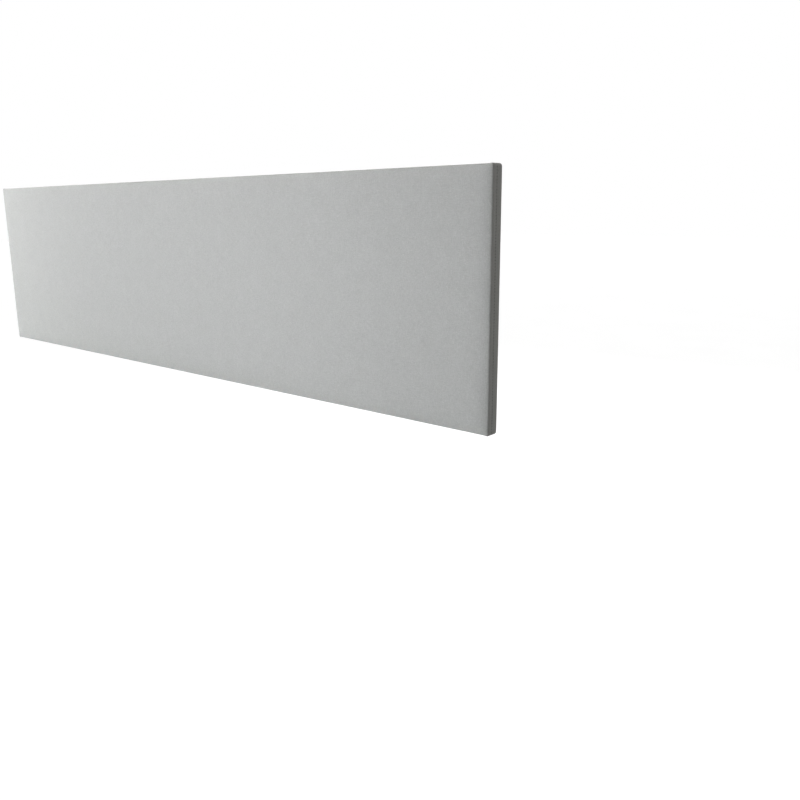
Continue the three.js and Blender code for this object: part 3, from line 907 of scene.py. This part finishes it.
hub_y = web_front + bend_radius
upper_hub, lower_hub = inside_top - bend_radius, inside_bottom + bend_radius
outer_bend = bend_radius + strip_thickness
section = [
    (flange_end, low.z), (flange_end, inside_bottom),
    *bend(hub_y, lower_hub, bend_radius, 270, 180), *bend(hub_y, upper_hub, bend_radius, 180, 90),
    (flange_end, inside_top), (flange_end, high.z),
    *bend(hub_y, upper_hub, outer_bend, 90, 180), *bend(hub_y, lower_hub, outer_bend, 180, 270),
]
strip.data.from_pydata([(-strip_half, y, z) for y, z in section], [], [range(len(section))])
take_up(strip)
pick(strip, "faces", lambda f: True)
bpy.ops.mesh.extrude_region_move()
bpy.ops.transform.translate(value=(2 * strip_half, 0, 0))
tidy_shell(strip)
pick(
    strip, "edges",
    lambda e: runs_along(e, 2) and min(v.co.y for v in e.verts) > flange_end - 1e-5,
)
bpy.ops.mesh.bevel(offset=flange_corner_radius, segments=8, affect="EDGES")
bpy.ops.object.mode_set(mode="OBJECT")
cut_away(
    strip,
    start_bar(
        "hole", clamp_hole_radius, (0, clamp_screw_y, low.z - overcut),
        (0, clamp_screw_y, low.z + overcut), 40,
    ),
    *(
        start_bar(
            "hole", fixing_hole_radius, (x, web_rear - overcut, z), (x, web_front + overcut, z)
        )
        for x, z in fixing_offsets.values()
    ),
)
ease_edges(strip, strip_edge_radius)

powder_coat, shader = new_finish("black_powder_coat", (0.016, 0.017, 0.018), 0.5)
place = object_place(powder_coat)
pimples = grain(powder_coat, place, 0.0008, detail=3)
dust = grain(powder_coat, place, 0.012, detail=3)
stops = [
    (0.35, (0.012, 0.0125, 0.0135)), (0.6, (0.019, 0.0195, 0.0205)), (0.8, (0.032, 0.032, 0.032))
]
vary(powder_coat, shader, (dust, stops), (pimples, 0.42, 0.6), (pimples, 0.0002, 1.0))

for side, clamp_x in clamp_places.items():
    bracket = copy_of(strip, f"{side}_bracket_strip", (clamp_x, 0, 0))
    finish_piece(
        bracket, "screen", powder_coat, [f"{side}_bracket"], smooth_angle=35
    )
    flatten_shading(bracket)
put_away(strip)


# The grip pads: 2 mm black rubber sheets bonded under the upper flanges, with rounded
# corners and shallow grooves across, so that they hold on the board's top face.
pad_corner_radius = 0.006
groove_spacing = 0.0053
groove_width = 0.0016
groove_depth = 0.0006
groove_margin = pad_corner_radius + 0.001
rubber_edge_radius = 0.0003

low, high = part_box("left_grip_pad")
shift = Vector((clamp_places["left"], 0, 0))
sheet_rubber = start_block("grip_rubber", low - shift, high - shift)
pick(sheet_rubber, "edges", lambda e: runs_along(e, 2))
bpy.ops.mesh.bevel(offset=pad_corner_radius, segments=5, affect="EDGES")
groove_places = [
    low.y + groove_margin + i * groove_spacing
    for i in range(int((high.y - low.y - 2 * pad_corner_radius) / groove_spacing) + 1)
]
for y in groove_places:
    cut_across(1, y)
    cut_across(1, y + groove_width)
tidy_shell(sheet_rubber)
pick(
    sheet_rubber, "faces",
    lambda f: f.normal.z < -0.9
    and any(y < f.calc_center_median().y < y + groove_width for y in groove_places),
)
bpy.ops.mesh.extrude_region_move()
bpy.ops.transform.translate(value=(0, 0, groove_depth))
tidy_shell(sheet_rubber)
ease_edges(sheet_rubber, rubber_edge_radius, 2, 50)

rubber, shader = new_finish("black_rubber", (0.024, 0.024, 0.025), 0.75)
place = object_place(rubber)
bloom = grain(rubber, place, 0.006, detail=3)
specks = grain(rubber, place, 0.0004, detail=1)
stops = [
    (0.3, (0.016, 0.016, 0.017)), (0.55, (0.026, 0.026, 0.027)), (0.8, (0.045, 0.045, 0.044))
]
vary(rubber, shader, (bloom, stops), (bloom, 0.66, 0.85), (specks, 0.00005, 0.6))

for side, clamp_x in clamp_places.items():
    pad = copy_of(sheet_rubber, f"{side}_grip_rubber", (clamp_x, 0, 0))
    finish_piece(pad, "screen", rubber, [f"{side}_grip_pad"], smooth_angle=35)
    flatten_shading(pad)
put_away(sheet_rubber)


# The fixing screws: zinc-plated M6 by 16 button heads with a hexagon socket, through the
# bracket's web and the rear cloth into the inserts.
screw_head_height = 0.0033
screw_head_radius = 0.00525
screw_crown_radius = 0.0031
screw_rim_height = 0.0007
socket_radius = 0.004 / math.sqrt(3)
socket_depth = 0.002
screw_length = 0.016
screw_crest, screw_root, screw_lead = 0.00295, 0.0025, 0.001
screw_neck_radius = 0.0027
screw_neck_low, screw_neck_high = -0.0015, 0.0005
screw_thread_top = -0.0012
screw_edge = 0.0002
socket_edge_radius = 0.00015

dome = [
    (
        screw_crown_radius + (screw_head_radius - screw_crown_radius) * math.cos(a),
        screw_rim_height + (screw_head_height - screw_rim_height) * math.sin(a),
    )
    for a in [i * math.pi / 16 for i in range(9)]
]
head = turn_on_lathe(
    "fixing_screw",
    [
        (0, 0), (screw_head_radius - screw_edge, 0), (screw_head_radius, screw_edge), *dome,
        (0, screw_head_height),
    ],
    40,
)
cut_away(
    head,
    start_bar(
        "socket", socket_radius, (0, 0, screw_head_height - socket_depth),
        (0, 0, screw_head_height + overcut), 6,
    ),
)
ease_edges(head, socket_edge_radius, 2, 50)
shank = threaded_bar(
    "shank", screw_crest, screw_root, screw_lead, -screw_length, screw_thread_top, 16
)
neck = [
    (0, screw_neck_low), (screw_neck_radius, screw_neck_low),
    (screw_neck_radius, screw_neck_high), (0, screw_neck_high),
]
weld_on(head, turn_on_lathe("plain_shank", neck, 24), shank)
head.data.transform(towards_board)
for side, clamp_x in clamp_places.items():
    for corner, (x, z) in fixing_offsets.items():
        node = f"{side}_fixing_screw_{corner}"
        screw = copy_of(head, f"{node}_button", (clamp_x + x, -screw_head_height, z))
        finish_piece(screw, "screen", zinc, [node], smooth_angle=35)
        flatten_shading(screw)
put_away(head)


# The weld nuts: M8 hexagon nuts, 13 mm across flats, projection welded to the lower
# flange's upper side, with both rims of the hexagon chamfered.
nut_low, nut_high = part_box("left_weld_nut")
nut_corner_radius = 0.0065 / math.cos(math.pi / 6)
nut_bore = 0.0042
nut_chamfer = 0.0011
nut_foot_chamfer = 0.0004
nut_edge_radius = 0.0002
nut_reach = nut_corner_radius + 0.001

hexagon = start_bar(
    "weld_nut", nut_corner_radius, (0, clamp_screw_y, nut_low.z), (0, clamp_screw_y, nut_high.z), 6
)
chamfer_shape = turn_on_lathe(
    "chamfer",
    [
        (0, nut_low.z), (nut_reach - nut_chamfer, nut_low.z),
        (nut_reach, nut_low.z + nut_foot_chamfer), (nut_reach, nut_high.z - nut_chamfer),
        (nut_corner_radius - nut_chamfer, nut_high.z), (0, nut_high.z),
    ],
    48,
)
chamfer_shape.data.transform(Matrix.Translation((0, clamp_screw_y, 0)))
apply_modifier(hexagon, "BOOLEAN", operation="INTERSECT", object=chamfer_shape, solver="EXACT")
put_away(chamfer_shape)
cut_away(
    hexagon,
    start_bar("bore", nut_bore, (0, clamp_screw_y, -0.1), (0, clamp_screw_y, 0), 32),
)
ease_edges(hexagon, nut_edge_radius, 2, 25)
for side, clamp_x in clamp_places.items():
    node = f"{side}_weld_nut"
    nut = copy_of(hexagon, f"{node}_hexagon", (clamp_x, 0, 0))
    finish_piece(nut, "screen", zinc, [node], smooth_angle=30)
    flatten_shading(nut)
put_away(hexagon)


# The clamp screws: M8 studs with a real right-hand thread of 1.25 mm pitch. A flat head on
# a plain neck turns in the swivel cup, and the lower end is moulded into the knob.
thread_lead = 0.00125
thread_crest = 0.00395
thread_root = 0.0034
neck_radius = 0.003
swivel_head_thickness = 0.002
swivel_edge = 0.0003
neck_length = 0.0026
neck_overlap = 0.001
screw_low, screw_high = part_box("left_clamp_screw")
swivel_head_radius = (screw_high.x - screw_low.x) / 2
head_under = screw_high.z - swivel_head_thickness
thread_top = head_under - neck_length

stud = threaded_bar(
    "clamp_screw", thread_crest, thread_root, thread_lead, screw_low.z, thread_top, 28
)
swivel_head = turn_on_lathe(
    "swivel_head",
    [
        (0, thread_top - neck_overlap), (neck_radius, thread_top - neck_overlap),
        (neck_radius, head_under), (swivel_head_radius - swivel_edge, head_under),
        (swivel_head_radius, head_under + swivel_edge),
        (swivel_head_radius, screw_high.z - swivel_edge),
        (swivel_head_radius - swivel_edge, screw_high.z), (0, screw_high.z),
    ],
    40,
)
weld_on(stud, swivel_head)
for side, clamp_x in clamp_places.items():
    node = f"{side}_clamp_screw"
    screw = copy_of(stud, f"{node}_stud", (clamp_x, clamp_screw_y, 0))
    finish_piece(screw, f"{side}_screw", zinc, [node], smooth_angle=35)
put_away(stud)


# The swivel cups: pressed steel cups, zinc plated, whose lip is crimped under the clamp
# screw's flat head, so that the screw turns in them and they don't turn.
cup_low, cup_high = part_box("left_pad_cup")
cup_radius = (cup_high.x - cup_low.x) / 2
cup_lip = 0.002
cup_lip_radius = 0.0033
chamber_radius = 0.0068
chamber_height = 0.0026
cup_edge_radius = 0.0015
cup_crimp_radius = 0.0095
cup_crimp_rounding = (0.0006, 0.0004)
cup_flare = ((0.0012, 0.0016), (0.0003, 0.0021), (0, 0.0028))

cup_edge = [
    (cup_radius - cup_edge_radius * (1 - math.cos(a)),
     cup_high.z - cup_edge_radius * (1 - math.sin(a)))
    for a in [i * math.pi / 12 for i in range(7)]
]
cup = turn_on_lathe(
    "pad_cup",
    [
        (cup_lip_radius, cup_low.z), (cup_crimp_radius - cup_crimp_rounding[0], cup_low.z),
        (cup_crimp_radius, cup_low.z + cup_crimp_rounding[1]),
        *((cup_radius - inward, cup_low.z + up) for inward, up in cup_flare), *cup_edge,
        (0, cup_high.z), (0, cup_low.z + cup_lip + chamber_height),
        (chamber_radius, cup_low.z + cup_lip + chamber_height),
        (chamber_radius, cup_low.z + cup_lip), (cup_lip_radius, cup_low.z + cup_lip),
        (cup_lip_radius, cup_low.z),
    ],
    56,
)
for side, clamp_x in clamp_places.items():
    node = f"{side}_pad_cup"
    pressed = copy_of(cup, f"{node}_pressing", (clamp_x, clamp_screw_y, 0))
    finish_piece(pressed, f"{side}_pad", zinc, [node], smooth_angle=32)
put_away(cup)


# The pad rubbers: 2 mm discs bonded on the cups, with three round grooves, which press on
# the board from below.
disc_low, disc_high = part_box("left_pad_rubber")
disc_radius = (disc_high.x - disc_low.x) / 2
disc_edge = 0.0005
ring_grooves = (0.0028, 0.0056, 0.0084)
ring_groove_depth = 0.0005
ring_half, ring_floor_half = 0.0006, 0.0004
disc_rounding = 0.00015

top = [
    (disc_radius, disc_high.z - disc_edge),
    (disc_radius - disc_rounding, disc_high.z - disc_rounding),
    (disc_radius - disc_edge, disc_high.z),
]
for ring in reversed(ring_grooves):
    top += [
        (ring + ring_half, disc_high.z),
        (ring + ring_floor_half, disc_high.z - ring_groove_depth),
        (ring - ring_floor_half, disc_high.z - ring_groove_depth),
        (ring - ring_half, disc_high.z),
    ]
disc = turn_on_lathe(
    "pad_rubber", [(0, disc_low.z), (disc_radius, disc_low.z), *top, (0, disc_high.z)], 56
)
for side, clamp_x in clamp_places.items():
    node = f"{side}_pad_rubber"
    pressed = copy_of(disc, f"{node}_disc", (clamp_x, clamp_screw_y, 0))
    finish_piece(pressed, f"{side}_pad", rubber, [node], smooth_angle=32)
put_away(disc)


# The star knobs: five-lobed black plastic mouldings on the clamp screws' lower ends, with a
# round collar above and a shallow dished face below.
lobe_count = 5
lobe_control_radius = 0.02069
valley_control_radius = 0.01188
knob_edge = 0.0018
collar_radius = 0.0075
collar_height = 0.004
collar_root = 0.004
collar_foot = 0.0008
collar_rim = ((0.0002, 0.0005), (0.0007, 0))
dish_radius = 0.0078
dish_depth = 0.0007
dish_flare, dish_lip = 0.0004, 0.0001
crown_margin = 0.004
knob_bore_radius, knob_bore_depth = 0.0043, 0.011
knob_low, knob_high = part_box("left_star_knob")
knob_shoulder = knob_high.z - collar_height

knob = start_bar(
    "star_knob", lobe_control_radius, (0, 0, knob_low.z), (0, 0, knob_shoulder), 2 * lobe_count
)
pick(knob, "verts", lambda v: round(math.atan2(v.co.x, v.co.y) / math.pi * lobe_count) % 2)
shrink = valley_control_radius / lobe_control_radius
bpy.ops.transform.resize(value=(shrink, shrink, 1), center_override=(0, 0, 0))
for z in (knob_low.z + knob_edge, knob_shoulder - knob_edge):
    cut_across(2, z)
for up in (1, -1):
    pick(knob, "faces", lambda f: f.normal.z * up > 0.9)
    for margin in (knob_edge, crown_margin):
        bpy.ops.mesh.inset(thickness=margin)
apply_modifier(knob, "SUBSURF", levels=3, render_levels=3)
knob.data.transform(Matrix.Rotation(-math.pi / 10, 4, "Z"))
collar = turn_on_lathe(
    "collar",
    [
        (0, knob_low.z + collar_root), (collar_radius + collar_foot, knob_low.z + collar_root),
        (collar_radius + collar_foot, knob_shoulder), (collar_radius, knob_shoulder + collar_foot),
        *((collar_radius - inward, knob_high.z - down) for inward, down in collar_rim),
        (0, knob_high.z),
    ],
    48,
)
weld_on(knob, collar)
dish = turn_on_lathe(
    "dish",
    [
        (0, knob_low.z - overcut), (dish_radius + dish_flare, knob_low.z - overcut),
        (dish_radius + dish_flare, knob_low.z - dish_lip), (dish_radius, knob_low.z + dish_depth),
        (0, knob_low.z + dish_depth),
    ],
    48,
)
bore_low, bore_high = knob_high.z - knob_bore_depth, knob_high.z + overcut
cut_away(knob, dish, start_bar("bore", knob_bore_radius, (0, 0, bore_low), (0, 0, bore_high), 32))

moulded, shader = new_finish("black_nylon", (0.011, 0.011, 0.012), 0.42)
place = object_place(moulded)
spark = grain(moulded, place, 0.0007, detail=2)
handling = grain(moulded, place, 0.009, detail=3)
stops = [
    (0.3, (0.008, 0.008, 0.009)), (0.55, (0.013, 0.013, 0.014)), (0.8, (0.021, 0.021, 0.021))
]
vary(moulded, shader, (handling, stops), (handling, 0.34, 0.52), (spark, 0.00008, 0.6))

for side, clamp_x in clamp_places.items():
    node = f"{side}_star_knob"
    handle = copy_of(knob, f"{node}_moulding", (clamp_x, clamp_screw_y, 0))
    finish_piece(handle, f"{side}_screw", moulded, [node], smooth_angle=40)
    flatten_shading(handle)
put_away(knob)
